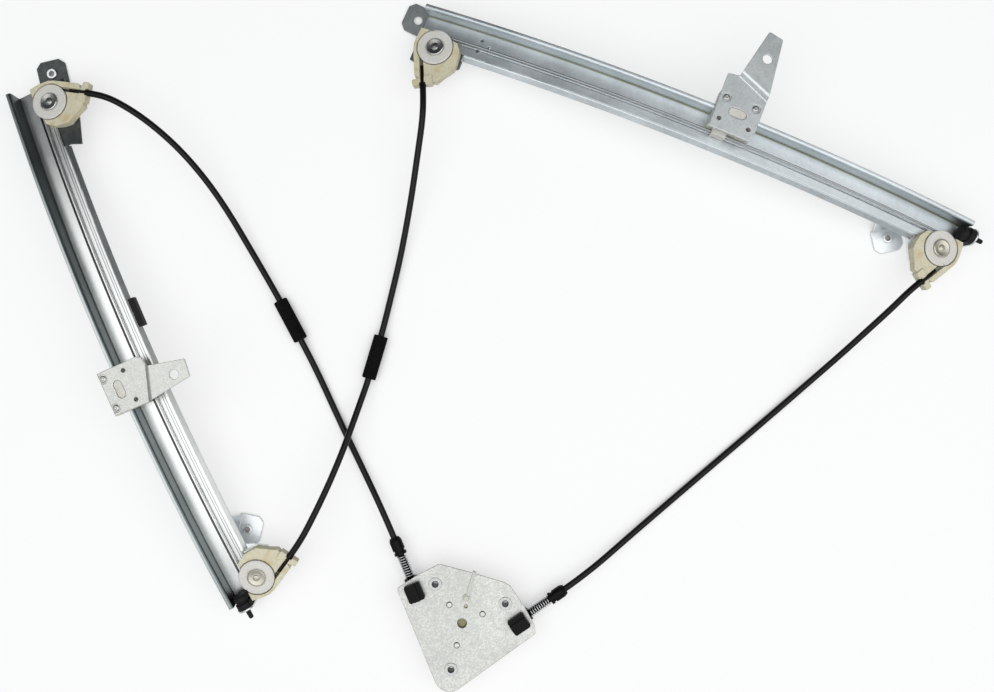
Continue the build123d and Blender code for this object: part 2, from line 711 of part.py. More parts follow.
with BuildPart() as drum_plate:
    with BuildSketch(hub.offset(plate_level)) as plan:
        Polygon(*plate_corners, align=None)
        for corner, radius in zip(plate_corners, corner_radii):
            nearest = plan.vertices().sort_by_distance((*corner, 0))[0]
            fillet(nearest, radius)
    extrude(amount=drum_plate_sheet)
    with BuildSketch(hub.offset(plate_level)):
        Circle(spindle_radius + 0.1)
        with Locations(*[(boss_circle * cos(radians(a)), boss_circle * sin(radians(a))) for a in boss_angles]):
            Circle(boss_radius + 0.1)
        with Locations(*[(plate_rivet_circle * cos(radians(a)), plate_rivet_circle * sin(radians(a)))
                         for a in boss_angles]):
            Circle(1.85)
        with Locations((3.2, 14.6)):
            Circle(1.7)
        with Locations((40.2, 19.6)):
            Circle(1.0)
    extrude(amount=drum_plate_sheet, mode=Mode.SUBTRACT)
    for ground in outlets.values():
        with BuildSketch(ground.offset(plate_level)):
            with Locations((socket_start + socket_length / 2, 0)):
                Rectangle(neck_length + 0.4, neck_width + 0.4)
        extrude(amount=drum_plate_sheet, mode=Mode.SUBTRACT)
keep(drum_plate.part, "drum_plate")

with BuildPart() as drum_housing:
    with BuildSketch(hub):
        Circle(housing_outer)
    extrude(amount=plate_level)
    for ground in outlets.values():
        with BuildSketch(ground.offset(lead_level - 5)):
            with Locations((20, 0)):
                Rectangle(2 * (socket_start - gap - 20), 9)
        extrude(amount=plate_level - lead_level + 5)
    with BuildSketch(hub.offset(drum_bottom - gap - 1)):
        Circle(housing_inner)
    extrude(amount=plate_level - housing_top_wall - drum_bottom + gap + 1, mode=Mode.SUBTRACT)
    with BuildSketch(hub):
        Circle(housing_lip_radius)
    extrude(amount=drum_bottom, mode=Mode.SUBTRACT)
    with BuildSketch(hub.offset(plate_level - housing_top_wall - 1)):
        Circle(spindle_radius + running_fit)
        with Locations(*[(plate_rivet_circle * cos(radians(a)), plate_rivet_circle * sin(radians(a)))
                         for a in boss_angles]):
            Circle(1.85)
    extrude(amount=housing_top_wall + 1, mode=Mode.SUBTRACT)
    for ground in outlets.values():
        with BuildSketch(ground.offset(lead_level - 1.6)):
            with Locations((socket_start / 2, 0)):
                Rectangle(socket_start + 2, 3.2)
        extrude(amount=3.2, mode=Mode.SUBTRACT)
keep(drum_housing.part, "drum_housing")

with BuildPart() as drum:
    core = pitch_radius - cable_radius - 0.1
    with BuildSketch(axial(hub)):
        Polygon((0, drum_bottom + drive_depth), (drive_radius, drum_bottom + drive_depth),
                (drive_radius, drum_bottom), (flange_radius, drum_bottom), (flange_radius, drum_bottom + 1.6),
                (core, drum_bottom + 2.2), (core, drum_top - 1.6), (flange_radius, drum_top - 1.0),
                (flange_radius, drum_top), (spindle_radius + running_fit, drum_top),
                (spindle_radius + running_fit, drum_bottom + drive_depth + 1.5),
                (0, drum_bottom + drive_depth + 1.5), align=None)
    revolve(axis=Axis(hub.origin, (0, 0, 1)))
    with BuildSketch(hub.offset(drum_bottom)):
        with PolarLocations(drive_radius, 3):
            Rectangle(2.4, 2.6)
    extrude(amount=drive_depth, mode=Mode.SUBTRACT)
    with BuildSketch(hub.offset(drum_bottom)):
        with PolarLocations(18.0, 8):
            Circle(3.2)
    extrude(amount=9, mode=Mode.SUBTRACT)
keep(drum.part, "cable_drum")

turns = []
for level in (lead_level - coil_pitch, lead_level + coil_pitch, lead_level - 2 * coil_pitch):
    with BuildPart() as turn:
        with BuildSketch(axial(hub)):
            with Locations((pitch_radius, level)):
                RegularPolygon(cable_radius, 6)
        revolve(axis=Axis(hub.origin, (0, 0, 1)))
    turns.append(turn.part.solid())
keep(Part(children=turns), "drum_cable_turns")

leads = []
for ground in outlets.values():
    with BuildPart() as lead:
        with BuildSketch(along_outlet(ground, 0)):
            Circle(cable_radius)
        extrude(amount=conduit_entry)
    leads.append(lead.part.solid())
keep(Part(children=leads), "drum_cable_leads")

with BuildPart() as spindle:
    with BuildSketch(hub.offset(drum_bottom + drive_depth + 1.5 + gap)):
        Circle(spindle_radius)
    extrude(amount=plate_level - 0.6 - drum_bottom - drive_depth - 1.5 - gap)
    chamfer(spindle.edges().group_by(Axis.Z)[-1], 0.5)
keep(spindle.part, "drum_spindle")

plate_rivets, bosses = [], []
for angle in boss_angles:
    spot = Plane((drum_x + plate_rivet_circle * cos(radians(angle)), drum_y + plate_rivet_circle * sin(radians(angle)), 0))
    with BuildPart() as plate_rivet:
        with BuildSketch(axial(spot)):
            Polygon((0, plate_level - housing_top_wall), (1.75, plate_level - housing_top_wall), (1.75, plate_top),
                    (2.7, plate_top), (2.7, plate_top + 0.4), (1.9, plate_top + 1.0), (0, plate_top + 1.2), align=None)
        revolve(axis=Axis(spot.origin, (0, 0, 1)))
    plate_rivets.append(plate_rivet.part.solid())
    spot = Plane((drum_x + boss_circle * cos(radians(angle)), drum_y + boss_circle * sin(radians(angle)), 0))
    with BuildPart() as boss:
        with BuildSketch(axial(spot)):
            Polygon((boss_bore, plate_level - boss_length), (boss_radius - 0.6, plate_level - boss_length),
                    (boss_radius, plate_level - boss_length + 0.6), (boss_radius, plate_top),
                    (boss_radius + 0.7, plate_top), (boss_radius + 0.5, plate_top + 0.6),
                    (boss_bore + 0.5, plate_top + 0.6), (boss_bore, plate_top), align=None)
        revolve(axis=Axis(spot.origin, (0, 0, 1)))
    bosses.append(boss.part.solid())
keep(Part(children=plate_rivets), "drum_plate_rivets")
keep(Part(children=bosses), "motor_bosses")


def cable_socket(ground):
    """Body under the plate, neck through the plate's window, head on top and a collar outside."""
    middle = socket_start + socket_length / 2
    with BuildPart() as socket:
        with BuildSketch(ground.offset(lead_level - 6)):
            with Locations((middle, 0)):
                Rectangle(socket_length, 12)
        extrude(amount=plate_level - lead_level + 6)
        with BuildSketch(ground.offset(plate_level)):
            with Locations((middle, 0)):
                Rectangle(neck_length, neck_width)
        extrude(amount=drum_plate_sheet)
        with BuildSketch(ground.offset(plate_top)) as top:
            with Locations((middle, 0)):
                Rectangle(socket_length, socket_width)
            chamfer(top.vertices(), 1.2)
        extrude(amount=socket_head)
        with BuildSketch(ground.offset(plate_top + socket_head - 1.6)):
            for shift in (-1, 1):
                with Locations((middle, shift * (socket_width / 2 - 2.2))):
                    Rectangle(socket_length + 1, 4.4)
        extrude(amount=2, mode=Mode.SUBTRACT)
        with BuildSketch(along_outlet(ground, socket_start + socket_length)):
            Circle(4.2)
        extrude(amount=collar_start - socket_start - socket_length)
        with BuildSketch(along_outlet(ground, collar_start)):
            Circle(collar_radius)
        extrude(amount=collar_end - collar_start)
        with BuildSketch(along_outlet(ground, collar_end)):
            Circle(socket_nose)
        extrude(amount=5)
        with BuildSketch(along_outlet(ground, socket_start - 1)):
            Circle(cable_radius + gap)
        extrude(amount=collar_end + 7 - socket_start, mode=Mode.SUBTRACT)
    return socket.part


def tension_spring(ground):
    start = along_outlet(ground, collar_end + spring_wire / 2)
    pitch = (spring_length - spring_wire) / spring_turns
    with BuildPart() as spring:
        with BuildLine() as coil:
            Helix(pitch, pitch * spring_turns, spring_radius, center=start.origin, direction=start.z_dir)
        with BuildSketch(Plane(coil.line @ 0, z_dir=coil.line % 0)):
            Rectangle(spring_wire * 0.9, spring_wire * 0.9)
        sweep(path=coil.line, is_frenet=True)
    return spring.part


def ferrule(ground):
    at = along_outlet(ground, ferrule_start)
    r = ferrule_radius
    with BuildPart() as cap:
        with BuildSketch(axial(at)):
            Polygon((cable_radius + gap, -6.5), (socket_nose, -6.5), (socket_nose, 0), (r, 0), (r, 2.2),
                    (r - 0.9, 2.2), (r - 0.9, 4.4), (r, 4.4), (r, ferrule_length - 3.0),
                    (r - 1.2, ferrule_length), (ferrule_bore, ferrule_length), (ferrule_bore, ferrule_floor),
                    (cable_radius + gap, ferrule_floor), align=None)
        revolve(axis=Axis(at.origin, at.z_dir))
        with BuildSketch(at.offset(4.4)):
            with PolarLocations(r, 8):
                Rectangle(0.9, 1.5)
        extrude(amount=ferrule_length - 8.0, mode=Mode.SUBTRACT)
    return cap.part


for name, ground in outlets.items():
    keep(cable_socket(ground), f"{name}_cable_socket")
    keep(tension_spring(ground), f"{name}_tension_spring")
    keep(ferrule(ground), f"{name}_ferrule")

with BuildPart() as transport_tie:
    heading = Vector(tie_edge[0] - tie_foot[0], tie_edge[1] - tie_foot[1])
    strap = Plane((drum_x + tie_foot[0], drum_y + tie_foot[1], plate_top), (heading.X, heading.Y, 0), (0, 0, 1))
    reach = heading.length
    with BuildSketch(strap):
        with Locations((reach / 2 + 1, 0)):
            Rectangle(reach - 2, 2.6)
        with Locations((2.6, 0.6)):
            Circle(3.2)
    extrude(amount=1.1)
    with BuildSketch(strap.offset(1.1)):
        with Locations((2.6, 0.6)):
            Circle(2.2)
    extrude(amount=1.4)
    with BuildSketch(strap.offset(-5)):
        with Locations((reach + 0.2, 0)):
            Rectangle(1.1, 2.6)
    extrude(amount=6.1)
    fillet(transport_tie.edges().group_by(Axis.Z)[-1], 0.8)
keep(transport_tie.part, "transport_tie")

# ---- conduits: points chosen by hand, arcs as large as their runs allow ----


def radii_of(points):
    """Arc at each inner point: 0.45 of the shorter run over the tangent of half the turn."""
    found = []
    for before, here, after in zip(points, points[1:], points[2:]):
        turn = radians((here - before).get_angle(after - here))
        shorter = min((here - before).length, (after - here).length)
        found.append(0.45 * shorter / tan(turn / 2))
    return found


def conduit(name, points):
    radii = radii_of(points)
    with BuildPart() as tube:
        with BuildLine() as route:
            FilletPolyline(*points, radius=radii)
        with BuildSketch(Plane(points[0], z_dir=points[1] - points[0])):
            Circle(conduit_diameter / 2)
        sweep(path=route.wires()[0])
    length = route.wires()[0].length
    expected = pi * (conduit_diameter / 2) ** 2 * length
    print(name, "length", round(length, 1), "volume ratio", round(tube.part.volume / expected, 4))
    print("  radii", [round(r) for r in radii], "runs",
          [round((b - a).length, 1) for a, b in zip(points, points[1:])])
    keep(tube.part, name)
    return points


def from_drum(ground, distance):
    return ground.from_local_coords(Vector(conduit_entry + distance, 0, lead_level))


def from_housing(rail, end, distance):
    return exit_plane(rail, end, conduit_start + distance).origin


upper_left_route = conduit("upper_left_conduit", [
    from_drum(outlets["left"], 0), from_drum(outlets["left"], 32),
    Vector(-115.9, -107.4, 5.2), Vector(-133.4, -72.1, 3.2), Vector(-154.6, -25.1, 4.2),
    Vector(-168.1, 1.9, 6.4), Vector(-188.1, 39.6, 6.4), Vector(-212.0, 81.2, 7.5), Vector(-231.3, 115.0, 11.5),
    Vector(-249.5, 142.4, 17.5), Vector(-270.7, 167.5, 23.5), Vector(-294.5, 188.6, 28.5),
    Vector(-317.0, 203.3, 31.0), from_housing(left, -1, 14), from_housing(left, -1, 0),
])
cross_route = conduit("crossing_conduit", [
    from_housing(left, 1, 0), from_housing(left, 1, 15), Vector(-157.2, -151.5, 30.5),
    Vector(-144.0, -124.0, 28.0), Vector(-133.5, -98.6, 23.5), Vector(-125.5, -76.0, 17.5),
    Vector(-116.1, -47.5, 10.5), Vector(-110.9, -31.9, 7.6), Vector(-98.8, 9.2, 6.4),
    Vector(-91.0, 41.5, 4.6), Vector(-83.2, 73.5, 6.4), Vector(-76.9, 103.5, 11.0), Vector(-71.2, 133.5, 18.0),
    Vector(-66.3, 163.0, 25.5), Vector(-62.2, 189.0, 30.0), from_housing(right, -1, 14), from_housing(right, -1, 0),
])
lower_right_route = conduit("lower_right_conduit", [
    from_drum(outlets["right"], 0), from_drum(outlets["right"], 32),
    Vector(118.7, -164.2, 5.2), Vector(174.3, -117.0, 3.2), Vector(229.6, -70.0, 3.0),
    Vector(268.3, -35.9, 5.4), Vector(299.3, -7.0, 12.5), Vector(320.9, 15.0, 20.5), Vector(337.5, 32.0, 26.8),
    from_housing(right, 1, 14), from_housing(right, 1, 0),
])

sleeves = {
    "upper_left_sleeve": (upper_left_route[5], upper_left_route[6]),
    "crossing_sleeve": (cross_route[7], cross_route[8]),
}
sleeve_length = 38.4
for name, (start, stop) in sleeves.items():
    middle = (start + stop) * 0.5
    with BuildPart() as sleeve:
        with BuildSketch(Plane(middle, z_dir=stop - start)):
            Circle(sleeve_radius)
            Circle(sleeve_bore, mode=Mode.SUBTRACT)
        extrude(amount=sleeve_length / 2, both=True)
        chamfer(sleeve.edges().filter_by(GeomType.CIRCLE).sort_by(SortBy.RADIUS)[-2:], 0.6)
    keep(sleeve.part, name)
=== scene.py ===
# %% [markdown]
# # A twin-rail window regulator
# Two curved steel rails each carry a glass carrier. A thin steel cable runs from a drum, through black
# conduits and round four nylon pulleys, and pulls both carriers together. The rigid pieces come from
# CAD and are only given their finishes here. The springs, the tubes inside them and the conduits'
# jackets are made here, because wound and curved shapes are what Blender makes best.

# %% Load the frame
import bmesh
import bpy
import json
import math
from mathutils import Matrix, Vector


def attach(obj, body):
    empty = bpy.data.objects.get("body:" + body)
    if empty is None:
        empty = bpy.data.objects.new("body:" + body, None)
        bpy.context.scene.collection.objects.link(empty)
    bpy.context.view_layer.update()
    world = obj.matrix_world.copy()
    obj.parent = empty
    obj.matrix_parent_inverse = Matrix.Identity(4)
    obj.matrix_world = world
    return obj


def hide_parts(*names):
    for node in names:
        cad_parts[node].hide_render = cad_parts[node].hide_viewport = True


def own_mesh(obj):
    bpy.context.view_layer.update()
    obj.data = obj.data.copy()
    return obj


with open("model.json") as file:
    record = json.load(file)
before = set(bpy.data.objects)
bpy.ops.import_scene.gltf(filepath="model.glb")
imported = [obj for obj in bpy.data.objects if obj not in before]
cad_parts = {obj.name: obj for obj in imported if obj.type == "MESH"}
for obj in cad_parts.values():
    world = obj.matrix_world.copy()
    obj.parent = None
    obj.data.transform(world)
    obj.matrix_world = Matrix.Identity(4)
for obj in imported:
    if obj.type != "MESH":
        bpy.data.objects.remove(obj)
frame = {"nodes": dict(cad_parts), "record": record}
nodes = frame["nodes"]
joints = {joint["name"]: joint for joint in frame["record"]["behaviour"]["joints"]}
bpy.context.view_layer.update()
scene = bpy.context.scene

# %% [markdown]
# ## Camera
# The regulator lies flat on a table and is seen from straight above, from a little under a metre away.
# A moderate lens keeps the slight perspective: the crowns of the curved rails look a little larger than
# their ends.

# %% Camera
camera = bpy.data.objects.new("camera", bpy.data.cameras.new("camera"))
scene.collection.objects.link(camera)
scene.camera = camera
camera.location = (0.0009, -0.0016, 0.960)
camera.data.sensor_width = 36.0
camera.data.lens = 39.84
camera.data.clip_start = 0.05
camera.data.clip_end = 20.0
print("camera height", camera.location.z, "lens", camera.data.lens)

# %% [markdown]
# ## Colours and nodes
# Colours are easiest to read as the hex values of a paint chart, but Blender mixes light in linear
# values, so one function turns the first into the second. A second small function adds a node, sets
# its properties, and joins or fills its inputs, so each finish below reads as a short recipe.

# %% Helpers for colours and nodes
def linear(hex_colour):
    """An sRGB hex colour as linear RGBA."""
    found = []
    for start in (0, 2, 4):
        c = int(hex_colour[start:start + 2], 16) / 255
        found.append(c / 12.92 if c <= 0.04045 else ((c + 0.055) / 1.055) ** 2.4)
    return (*found, 1.0)


def add(tree, kind, inputs=None, stops=(), **settings):
    """Add a node; an input takes a socket or a value, stops fill a ramp, settings are properties."""
    node = tree.nodes.new(kind)
    for name, value in settings.items():
        setattr(node, name, value)
    for name, value in (inputs or {}).items():
        if isinstance(value, bpy.types.NodeSocket):
            tree.links.new(value, node.inputs[name])
        else:
            node.inputs[name].default_value = value
    if stops:
        elements = node.color_ramp.elements
        while len(elements) < len(stops):
            elements.new(0.5)
        for element, (position, colour) in zip(elements, stops):
            element.position = position
            element.color = linear(colour)
    return node


def new_material(name):
    """Empty material and its node tree."""
    material = bpy.data.materials.new(name)
    material.use_nodes = True
    material.node_tree.nodes.clear()
    return material, material.node_tree


print("mid grey in linear light", round(linear("808080")[0], 3))

# %% [markdown]
# ## Patterns in real millimetres
# A pattern is only convincing at its real scale. Object coordinates are in metres, so they are turned
# along the piece and multiplied by 1000, and a pattern's scale is then one over its size in
# millimetres. One pixel of the finished picture covers about 0.9 mm of the object, so grain that is
# finer than about half a millimetre is drawn at that size, which is as coarse as it needs to be to show.

# %% Helpers for patterns
# A Mix node has sockets for every kind of data; these are the places of the colour ones.
colour_a = 6
colour_b = 7
mixed_colour = 2


def millimetres(tree, turn=0.0, stretch=(1.0, 1.0, 1.0)):
    """Object coordinates in millimetres, turned about Z in degrees and then stretched."""
    where = add(tree, "ShaderNodeTexCoord").outputs["Object"]
    turned = add(tree, "ShaderNodeVectorRotate", {"Vector": where, "Angle": -math.radians(turn)},
                 rotation_type="Z_AXIS").outputs[0]
    scale = tuple(1000.0 * s for s in stretch)
    return add(tree, "ShaderNodeVectorMath", {0: turned, 1: scale}, operation="MULTIPLY").outputs[0]


picture_width = 994
seen_width = camera.location.z * camera.data.sensor_width / camera.data.lens
print("a pixel covers", round(1000 * seen_width / picture_width, 2), "mm")

# %% [markdown]
# ## Zinc-coated sheet
# The rails, brackets and carrier plates are pressed from cold-rolled steel strip with a zinc coating.
# The coating freezes in flat crystals called spangle, each with its own tone, and rolling leaves fine
# lines along the strip, so the eye sees a quiet grey metal with a soft, broken shine. Voronoi cells
# give the spangle, noise stretched along the strip gives the lines, and broad noise gives the slow
# change from place to place. Metal keeps the default IOR, and its tone is in its base colour.

# %% Recipe for zinc-coated sheet
cloud_mm = 40.0         # broad patches of slightly different tone
lines_per_mm = 1.1      # rolled lines, drawn some ten times coarser than real so that they show
line_squeeze = 0.02     # makes a line fifty times as long as it is wide
line_relief = 0.00005   # metres
pressed_edge = 0.0008   # metres over which the light turns at a pressed edge


def zinc_sheet(name, heading, tones, spangle_mm, spangle, line, roughness, across=None):
    """Strip rolled along a heading; tones run dark to light, spangle and line say how much they show."""
    material, tree = new_material(name)
    spot = millimetres(tree, heading)
    cells = add(tree, "ShaderNodeTexVoronoi", {"Vector": spot, "Scale": 1 / spangle_mm, "Randomness": 1.0})
    flake = add(tree, "ShaderNodeSeparateColor", {"Color": cells.outputs["Color"]}).outputs[0]
    cloud = add(tree, "ShaderNodeTexNoise", {
        "Vector": spot, "Scale": 1 / cloud_mm, "Detail": 3.0}).outputs["Fac"]
    along = millimetres(tree, heading, (line_squeeze, 1.0, 1.0))
    lines = add(tree, "ShaderNodeTexNoise", {
        "Vector": along, "Scale": lines_per_mm, "Detail": 4.0, "Roughness": 0.7}).outputs["Fac"]
    tone = add(tree, "ShaderNodeMath", {0: flake, 1: spangle, 2: cloud}, operation="MULTIPLY_ADD")
    streak = add(tree, "ShaderNodeMath", {
        0: lines, 1: line, 2: tone.outputs[0]}, operation="MULTIPLY_ADD").outputs[0]
    # Noise keeps to the middle of its range, so the tones are spread over what it does reach.
    level = add(tree, "ShaderNodeMapRange", {
        "Value": streak, "From Min": 0.35 + 0.25 * (spangle + line),
        "From Max": 0.65 + 0.75 * (spangle + line)})
    colour = add(tree, "ShaderNodeValToRGB", {"Fac": level.outputs[0]},
                 stops=((0.0, tones[0]), (0.5, tones[1]), (1.0, tones[2]))).outputs["Color"]
    if across:
        colour = across(tree, colour)
    rough = add(tree, "ShaderNodeMapRange", {
        "Value": streak, "To Min": roughness - 0.06, "To Max": roughness + 0.08})
    edges = add(tree, "ShaderNodeBevel", {"Radius": pressed_edge}, samples=6)
    bump = add(tree, "ShaderNodeBump", {
        "Height": lines, "Normal": edges.outputs[0], "Strength": 0.12, "Distance": line_relief})
    shader = add(tree, "ShaderNodeBsdfPrincipled", {
        "Base Color": colour, "Roughness": rough.outputs[0], "Normal": bump.outputs[0], "Metallic": 1.0})
    add(tree, "ShaderNodeOutputMaterial", {"Surface": shader.outputs[0]})
    return material


print("rolled lines about", round(1 / lines_per_mm, 1), "mm apart")

# %% [markdown]
# ## Bands across a rail
# A rail isn't one tone from edge to edge: the left rail's lip and wall are painted darker than its floor
# as painted shade, the right rail's a little, and both have dirt at the foot of the wall. Thin dark lines
# on the floors are painted shade standing in for pressed lines and for the right rail's crease. A rail is
# bent round the axis of its carrier's joint, so the distance along that axis is the distance across the
# rail, anywhere on its length. A colour ramp on that distance, multiplied over the sheet's own tones,
# places each band.

# %% Tints across the rails
rail_hands = {"left": 1.0, "right": -1.0}   # which way along the joint's axis the rail's crease lies
# Places across a rail, in millimetres from the cable.
lip_edge = -19.4
lip_bend = -16.9
wall_face = -14.9
# near_line and far_line: painted shade standing in for two pressed lines on the left rail's floor
near_line = 5.7         # two thin dark lines along the left rail's floor
far_line = 7.9
# crease: on the right rail a thin line of painted shade
crease = 9.4
flange_edge = 13.8


def rail_bands(side, stops):
    """Tint across a rail; stops are pairs of distance from the cable in mm and hex colour."""
    joint = joints[f"{side}_carrier_travel"]
    axis = Vector(joint["axis"]) * rail_hands[side]
    cable = axis.dot(Vector(joint["pos_m"]))
    first = stops[0][0]
    last = stops[-1][0]
    places = [((distance - first) / (last - first), tone) for distance, tone in stops]

    def tint(tree, colour):
        where = add(tree, "ShaderNodeTexCoord").outputs["Object"]
        reach = add(tree, "ShaderNodeVectorMath", {0: where, 1: axis}, operation="DOT_PRODUCT")
        share = add(tree, "ShaderNodeMapRange", {
            "Value": reach.outputs["Value"], "From Min": cable + first / 1000,
            "From Max": cable + last / 1000})
        bands = add(tree, "ShaderNodeValToRGB", {"Fac": share.outputs[0]}, stops=places)
        mixed = add(tree, "ShaderNodeMix", {0: 1.0, colour_a: colour, colour_b: bands.outputs["Color"]},
                    data_type="RGBA", blend_type="MULTIPLY")
        return mixed.outputs[mixed_colour]

    return tint


# Left rail: lip and wall painted dark as painted shade, a dirt line at the wall's foot, and near_line and
# far_line as painted shade of pressed lines.
left_shade_and_grease_bands = rail_bands("left", (
    (lip_edge, "DADEDF"), (lip_bend - 0.4, "C2C6C8"), (lip_bend, "7A8082"), (wall_face, "7A8082"),
    (wall_face + 0.3, "8A8C86"), (wall_face + 0.9, "FFFFFF"),
    (near_line - 0.5, "FFFFFF"), (near_line, "5E6263"), (near_line + 0.5, "F4F4F4"),
    (far_line - 0.5, "F4F4F4"), (far_line, "686C6D"), (far_line + 0.5, "FFFFFF"), (flange_edge, "FFFFFF")))
# Right rail: lip and wall a little darker as painted shade, a yellow dirt line at the wall's foot, and a
# thin line of painted shade at the crease.
right_shade_and_grease_bands = rail_bands("right", (
    (lip_edge, "FFFFFF"), (lip_bend - 0.3, "FFFFFF"), (lip_bend, "ECF0F1"), (wall_face - 0.4, "F2F5F6"),
    (wall_face, "7E7C68"), (wall_face + 0.5, "B8B498"), (wall_face + 1.3, "FFFFFF"),
    (crease - 0.4, "FFFFFF"), (crease, "8E9395"), (crease + 0.5, "FFFFFF"), (flange_edge, "FFFFFF")))
print("bands cover", round(flange_edge - lip_edge, 1), "mm across")

# %% [markdown]
# ## One recipe, eight sheets
# Each pressing was cut from its own coil and has been handled differently. The rails are the smoothest
# and show the most lines, and the drum plate and the carriers show the most spangle. The two upper
# brackets are painted dark, the left one darkest, and the left carrier a little darker than the right:
# these darker tones are painted shade. One function makes them all, so they look like one family and
# differ only in what is listed here.

# %% Zinc finishes
left_heading = -66.55   # degrees, along each rail
right_heading = -21.67
left_strip = zinc_sheet(
    "zinc_coated_left_strip", left_heading, ("CDD0CF", "DCDEDC", "EAEBE9"),
    spangle_mm=2.2, spangle=0.12, line=0.3, roughness=0.3, across=left_shade_and_grease_bands)
right_strip = zinc_sheet(
    "zinc_coated_right_strip", right_heading, ("C2C8CB", "CFD5D8", "DCE1E4"),
    spangle_mm=2.2, spangle=0.16, line=0.3, roughness=0.38, across=right_shade_and_grease_bands)
bracket_steel = zinc_sheet(
    "zinc_plated_bracket", 20.0, ("D6DBDD", "E0E4E6", "EAEDEE"),
    spangle_mm=3.0, spangle=0.2, line=0.12, roughness=0.4)
# Painted shade: the two upper brackets' dark tones stand in for the shade on the room's dark side, the left
# one darkest.
upper_right_shaded_steel = zinc_sheet(
    "painted_shade_right_upper_bracket", 20.0, ("6C7071", "7A7E7F", "888C8D"),
    spangle_mm=3.0, spangle=0.2, line=0.12, roughness=0.42)
upper_left_shaded_steel = zinc_sheet(
    "painted_shade_left_upper_bracket", 20.0, ("454949", "535756", "626665"),
    spangle_mm=3.0, spangle=0.2, line=0.12, roughness=0.45)
right_carrier_steel = zinc_sheet(
    "zinc_coated_right_carrier", 40.0, ("C3C7C7", "CED2D3", "D9DCDC"),
    spangle_mm=1.6, spangle=0.35, line=0.1, roughness=0.42)
# Painted shade: the left carrier's tones are darker than the right one's.
left_carrier_steel = zinc_sheet(
    "zinc_coated_left_carrier", 40.0, ("AEAFAA", "BDBEB9", "CCCDC8"),
    spangle_mm=1.0, spangle=0.5, line=0.1, roughness=0.42)
spangled_plate = zinc_sheet(
    "hot_dip_spangled_plate", 40.0, ("ABACA8", "BCBDB9", "CECECA"),
    spangle_mm=1.2, spangle=0.6, line=0.1, roughness=0.42)
print("zinc finishes", len(bpy.data.materials))

# %% [markdown]
# ## Plain steels and bronze
# Rivets, bushes, springs and the cable are turned or drawn, so they are smoother than sheet and have
# no spangle, only faint mottling from handling and oil. The motor bosses are collars with a bore, and
# below the rim a boss takes a second, dark tone: painted shade in the bore.

# %% Turned and drawn metal
boss_rim = 0.0222           # height in metres
turned_edge = 0.0003        # metres over which the light turns at a turned edge
handling_mm = 1.5
strand_mm = 0.4             # the cable's strands are finer than this and are drawn as fine mottling


def steel(name, tones, roughness, mottling_mm=handling_mm, bore=None):
    """Mottled metal; bore is a hex colour of painted shade and the height in metres below which the piece
    has it.
    """
    material, tree = new_material(name)
    mottling = add(tree, "ShaderNodeTexNoise", {
        "Vector": millimetres(tree), "Scale": 1 / mottling_mm, "Detail": 4.0}).outputs["Fac"]
    colour = add(tree, "ShaderNodeValToRGB", {"Fac": mottling},
                 stops=((0.3, tones[0]), (0.7, tones[1]))).outputs["Color"]
    # Painted shade: below the given height the bore takes a dark colour.
    if bore:
        where = add(tree, "ShaderNodeTexCoord").outputs["Object"]
        height = add(tree, "ShaderNodeSeparateXYZ", {"Vector": where}).outputs["Z"]
        above = add(tree, "ShaderNodeMath", {0: height, 1: bore[1]}, operation="GREATER_THAN").outputs[0]
        colour = add(tree, "ShaderNodeMix", {0: above, colour_a: linear(bore[0]), colour_b: colour},
                     data_type="RGBA").outputs[mixed_colour]
    rough = add(tree, "ShaderNodeMapRange", {
        "Value": mottling, "To Min": roughness - 0.08, "To Max": roughness + 0.1})
    edges = add(tree, "ShaderNodeBevel", {"Radius": turned_edge}, samples=6)
    shader = add(tree, "ShaderNodeBsdfPrincipled", {
        "Base Color": colour, "Roughness": rough.outputs[0], "Normal": edges.outputs[0], "Metallic": 1.0})
    add(tree, "ShaderNodeOutputMaterial", {"Surface": shader.outputs[0]})
    return material


# The smoothest give small sharp highlights, and the greasy or burnished ones a wide dim one.
rivet_steel = steel("turned_rivet_steel", ("A3A3A0", "C2C2BE"), 0.28)
plate_rivet_steel = steel("burnished_rivet_steel", ("A9AAA6", "C6C7C3"), 0.36)
greasy_rivet_steel = steel("greasy_rivet_steel", ("B7B2A4", "CFCABC"), 0.4)
bright_steel = steel("bright_drawn_steel", ("D2D3D3", "EDEEEE"), 0.3)
spring_steel = steel("drawn_spring_wire", ("A4A6A7", "CDCFCF"), 0.28)
# 20242A below boss_rim is painted shade in the bore.
boss_steel = steel("plated_boss_steel", ("989A98", "B2B4B2"), 0.3, bore=("20242A", boss_rim))
spindle_bronze = steel("oiled_bronze_spindle", ("626049", "827F64"), 0.38)
# A darker wire tone for the left rail's and the drum's cable.
dark_cable_steel = steel("dark_stranded_wire", ("3A3A39", "626260"), 0.35, mottling_mm=strand_mm)
clean_cable = steel("clean_stranded_wire", ("8B8E8E", "B7BABA"), 0.35, mottling_mm=strand_mm)
print("metals so far", len(bpy.data.materials))

# %% [markdown]
# ## Nylon
# The pulley housings and sliders are injection-moulded nylon. Unfilled nylon is a warm ivory and
# slightly see-through, so light soaks in a little, and old grease leaves amber smears. The pulleys are
# whiter. Subsurface scattering gives the soaked-in look, and low, broad noise places the smears.

# %% Nylon finishes
smear_mm = 9.0
skin_mm = 1.4               # the moulded skin's slow ripple
skin_relief = 0.0001        # metres
moulded_edge = 0.0005       # metres over which the light turns at a moulded edge
nylon_depth = 0.0012        # metres that light soaks in, at most


